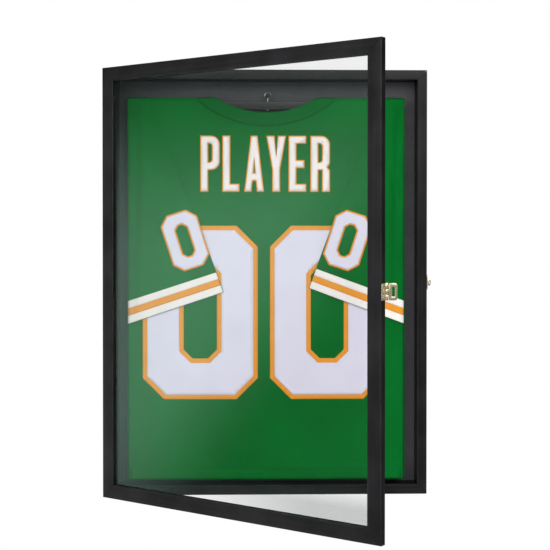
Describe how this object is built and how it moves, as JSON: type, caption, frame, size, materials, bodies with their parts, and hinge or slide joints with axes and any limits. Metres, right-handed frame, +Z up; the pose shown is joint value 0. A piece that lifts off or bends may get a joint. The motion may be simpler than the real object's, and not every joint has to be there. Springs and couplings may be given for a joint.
{
  "type": "jersey display frame",
  "caption": "Shallow wall-hung timber case with a hinged glazed door, side hasp and felt lining, showing a folded sports shirt on a hook-hung bar.",
  "frame": {"origin": "middle of the wall plane, on the rear face of the back panel", "axes": "+X to the viewer's right, -Y out of the wall towards the viewer, +Z up"},
  "size_m": [0.6168, 0.4196, 0.8],
  "materials": {
    "black_timber": "satin black lacquer over fine straight grain",
    "backing_board": "bare hardboard, matt",
    "felt": "charcoal felt",
    "acrylic": "clear polished sheet with a pale sheen",
    "aged_brass": "antique, softly polished",
    "dark_steel": "blackened",
    "bright_steel": "zinc plated",
    "hanger_bar": "satin black paint",
    "jersey": "green knitted sports cloth with white and gold trim"
  },
  "bodies": {
    "case": {"case_left_wall": "black_timber", "case_right_wall": "black_timber", "case_top_wall": "black_timber", "case_bottom_wall": "black_timber", "back_panel": "backing_board", "felt_backing": "felt", "hanger_peg": "dark_steel", "left_panel_tack_top": "bright_steel", "left_panel_tack_middle": "bright_steel", "left_panel_tack_bottom": "bright_steel", "right_panel_tack_top": "bright_steel", "right_panel_tack_middle": "bright_steel", "right_panel_tack_bottom": "bright_steel", "left_keyhole_plate": "bright_steel", "right_keyhole_plate": "bright_steel", "left_keyhole_screw_upper": "bright_steel", "left_keyhole_screw_lower": "bright_steel", "right_keyhole_screw_upper": "bright_steel", "right_keyhole_screw_lower": "bright_steel", "upper_hinge_case_leaf": "dark_steel", "upper_hinge_pin": "dark_steel", "lower_hinge_case_leaf": "dark_steel", "lower_hinge_pin": "dark_steel", "upper_hinge_case_screw_upper": "dark_steel", "upper_hinge_case_screw_lower": "dark_steel", "lower_hinge_case_screw_upper": "dark_steel", "lower_hinge_case_screw_lower": "dark_steel", "staple_plate": "aged_brass", "staple_screw_upper": "aged_brass", "staple_screw_lower": "aged_brass"},
    "door": {"door_hinge_stile": "black_timber", "door_free_stile": "black_timber", "door_top_rail": "black_timber", "door_bottom_rail": "black_timber", "acrylic_panel": "acrylic", "left_bead": "black_timber", "right_bead": "black_timber", "top_bead": "black_timber", "bottom_bead": "black_timber", "upper_hinge_door_leaf": "dark_steel", "lower_hinge_door_leaf": "dark_steel", "upper_hinge_door_screw_upper": "dark_steel", "upper_hinge_door_screw_lower": "dark_steel", "lower_hinge_door_screw_upper": "dark_steel", "lower_hinge_door_screw_lower": "dark_steel", "hasp_plate": "aged_brass", "hasp_pin": "aged_brass", "hasp_screw_upper": "aged_brass", "hasp_screw_lower": "aged_brass"},
    "hasp_strap": {"hasp_strap": "aged_brass"},
    "staple_tab": {"staple_tab": "aged_brass"},
    "hanger_hook": {"hanger_hook": "bright_steel"},
    "hanging_shirt": {"hanger_bar": "hanger_bar", "jersey_body": "jersey", "jersey_left_sleeve": "jersey", "jersey_right_sleeve": "jersey"}
  },
  "joints": [
    {"name": "door_hinge", "type": "hinge", "parent": "case", "child": "door", "pos_m": [-0.3028, -0.0455, 0], "axis": [0, 0, -1], "range_deg": [-37, 130]},
    {"name": "hasp_hinge", "type": "hinge", "parent": "door", "child": "hasp_strap", "pos_m": [0.18077, -0.4099, 0], "axis": [0, 0, -1], "range_deg": [-53, 120]},
    {"name": "tab_turn", "type": "hinge", "parent": "case", "child": "staple_tab", "pos_m": [0.3, -0.036, 0], "axis": [1, 0, 0], "range_deg": [0, 90]},
    {"name": "hanger_lift", "type": "slide", "parent": "case", "child": "hanger_hook", "axis": [0, 0, 1], "range_m": [0, 0.0035]},
    {"name": "hanger_swivel", "type": "hinge", "parent": "hanger_hook", "child": "hanging_shirt", "pos_m": [0, -0.025, 0.335], "axis": [0, 0, 1], "range_deg": [-1.5, 1.5]}
  ]
}
